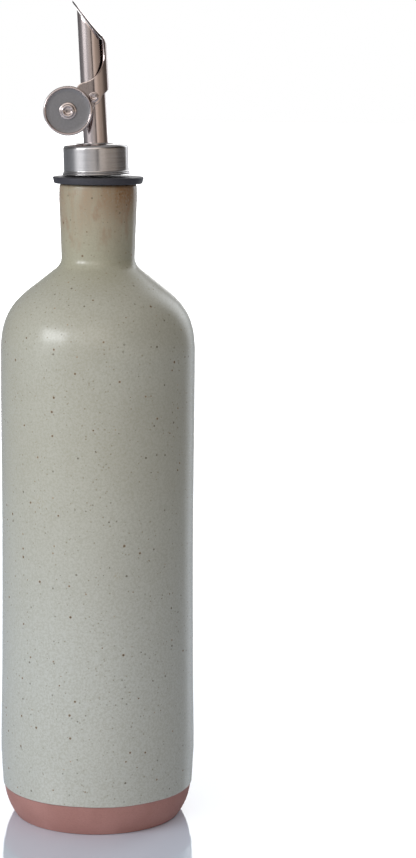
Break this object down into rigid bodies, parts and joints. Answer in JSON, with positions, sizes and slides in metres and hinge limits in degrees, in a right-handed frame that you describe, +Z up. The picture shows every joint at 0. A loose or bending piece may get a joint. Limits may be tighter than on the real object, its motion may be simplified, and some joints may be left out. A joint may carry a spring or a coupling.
{
  "type": "stoneware oil dispenser with a weighted flap pourer",
  "caption": "Tall glazed stoneware bottle with a bare clay foot, a rubber-collared steel pourer and a spout flap that a counterweight keeps shut.",
  "frame": {"origin": "middle of the flat base, on the surface the bottle stands on", "axes": "+Z up along the bottle's axis; the spout leans and pours towards -X; -Y faces the viewer, who sees the flap edge-on"},
  "size_m": [0.0742, 0.0742, 0.3081],
  "materials": {
    "glaze": "satin sage-grey glaze with fine iron specks, bare terracotta clay below the glaze line",
    "rubber": "matt black",
    "cap_steel": "fine turned brushing",
    "spout_steel": "polished",
    "weight_steel": "dull grey face with a bright rim"
  },
  "bodies": {
    "bottle": {"bottle": "glaze", "stopper": "rubber", "cap": "cap_steel", "spout": "spout_steel", "pivot_rivet": "spout_steel"},
    "flap": {"flap": "spout_steel", "weight_near": "weight_steel", "weight_far": "weight_steel", "weight_rivet": "spout_steel"}
  },
  "joints": [
    {"name": "flap_hinge", "type": "hinge", "parent": "bottle", "child": "flap", "pos_m": [-0.00175, 0, 0.27302], "axis": [0, 1, 0], "range_deg": [0, 55]}
  ]
}
